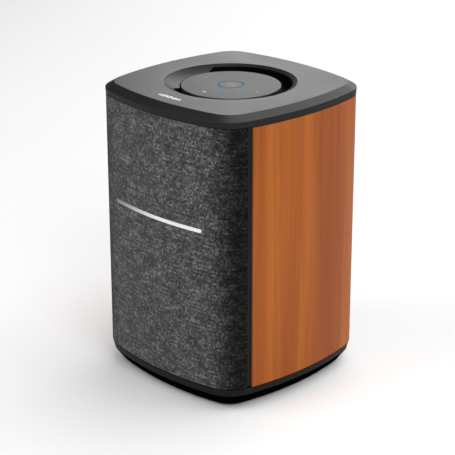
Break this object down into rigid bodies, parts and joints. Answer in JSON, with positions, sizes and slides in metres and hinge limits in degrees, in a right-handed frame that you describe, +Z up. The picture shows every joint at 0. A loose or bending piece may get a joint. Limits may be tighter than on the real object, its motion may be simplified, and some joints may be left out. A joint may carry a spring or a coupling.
{
  "type": "smart speaker",
  "caption": "Bow-sided upright smart speaker with a fabric-covered front, wooden side panels, a sunken round touch disc and a light bar.",
  "frame": {"origin": "centre of the feet's standing plane, on the floor", "axes": "+Z up; -Y out of the fabric front, towards the listener; +X towards the wooden panel that the viewer in front sees on the right"},
  "size_m": [0.1396, 0.1396, 0.2],
  "materials": {
    "satin_plastic": "satin",
    "disc_plastic": "satin",
    "black_plastic": "fine texture",
    "mark_print": "satin",
    "icon_print": "satin",
    "ring_lens": "translucent",
    "pcb": "solder mask",
    "foam_seal": "closed cell",
    "abs": "moulded",
    "mdf": "sealed black",
    "zinc_screw": "zinc",
    "black_screw": "black zinc",
    "grille_plastic": "moulded",
    "grille_cloth": "melange weave",
    "light_lens": "translucent",
    "guide_lens": "clear",
    "cheek_wood": "satin lacquer",
    "button_plastic": "satin",
    "nickel": "nickel",
    "brass_pin": "plain",
    "foot_rubber": "matte",
    "basket_steel": "black",
    "surround_rubber": "butyl",
    "cone_paper": "coated pulp",
    "cap_paper": "coated pulp",
    "coil_wire": "enamelled copper",
    "spider_cloth": "resin cloth",
    "ferrite": "ferrite",
    "motor_steel": "zinc",
    "dome_silk": "coated silk",
    "sink_aluminium": "extruded",
    "can_steel": "tinned",
    "cap_sleeve": "sleeve",
    "winding": "ferrite and tape",
    "wire_pvc": "pvc",
    "wadding": "acoustic felt"
  },
  "bodies": {
    "housing": {"top_cover": "satin_plastic", "front_mark": "mark_print", "touch_disc": "disc_plastic", "touch_icons": "icon_print", "light_ring": "ring_lens", "touch_board": "pcb", "disc_carrier": "black_plastic", "slot_channel": "black_plastic", "top_gasket": "foam_seal", "acoustic_lid": "abs", "cabinet_shell": "abs", "front_baffle": "mdf", "cabinet_screws": "zinc_screw", "grille_frame": "grille_plastic", "grille_fabric": "grille_cloth", "grille_grommets": "foot_rubber", "light_bar": "light_lens", "light_guide": "guide_lens", "light_board": "pcb", "wood_panel_left": "cheek_wood", "wood_panel_right": "cheek_wood", "trim_strips": "black_plastic", "rear_panel": "black_plastic", "rear_panel_screws": "black_screw", "control_board": "pcb", "rear_switches": "nickel", "ac_inlet": "black_plastic", "inlet_pins": "brass_pin", "port_tube": "black_plastic", "cabinet_floor": "abs", "base_gasket": "foam_seal", "base_cover": "black_plastic", "base_screws": "black_screw", "rubber_feet": "foot_rubber", "woofer_basket": "basket_steel", "woofer_gasket": "foam_seal", "woofer_surround": "surround_rubber", "woofer_spider": "spider_cloth", "woofer_magnet": "ferrite", "woofer_yoke": "motor_steel", "woofer_top_plate": "motor_steel", "driver_screws": "black_screw", "tweeter_faceplate": "black_plastic", "tweeter_magnet": "ferrite", "tweeter_yoke": "motor_steel", "main_board": "pcb", "power_board": "pcb", "heat_sink": "sink_aluminium", "wifi_module": "can_steel", "capacitors": "cap_sleeve", "transformer": "winding", "board_screws": "zinc_screw", "driver_wires": "wire_pvc", "damping_foam": "wadding"},
    "woofer_moving": {"woofer_cone": "cone_paper", "woofer_dust_cap": "cap_paper", "woofer_coil": "coil_wire"},
    "tweeter_moving": {"tweeter_dome": "dome_silk"},
    "button": {"pairing_button": "button_plastic"},
    "switch_knob": {"stereo_switch": "button_plastic"}
  },
  "joints": [
    {"name": "woofer_stroke", "type": "slide", "parent": "housing", "child": "woofer_moving", "axis": [0, -1, 0], "range_m": [-0.0025, 0.0025], "stiffness_N_per_m": 1200, "deforming": ["woofer_surround", "woofer_spider"]},
    {"name": "tweeter_stroke", "type": "slide", "parent": "housing", "child": "tweeter_moving", "axis": [0, -1, 0], "range_m": [-0.0003, 0.0003], "stiffness_N_per_m": 200},
    {"name": "button_press", "type": "slide", "parent": "housing", "child": "button", "axis": [0, -1, 0], "range_m": [0, 0.0008], "stiffness_N_per_m": 600},
    {"name": "switch_slide", "type": "slide", "parent": "housing", "child": "switch_knob", "axis": [1, 0, 0], "range_m": [-0.0022, 0.0022]}
  ]
}
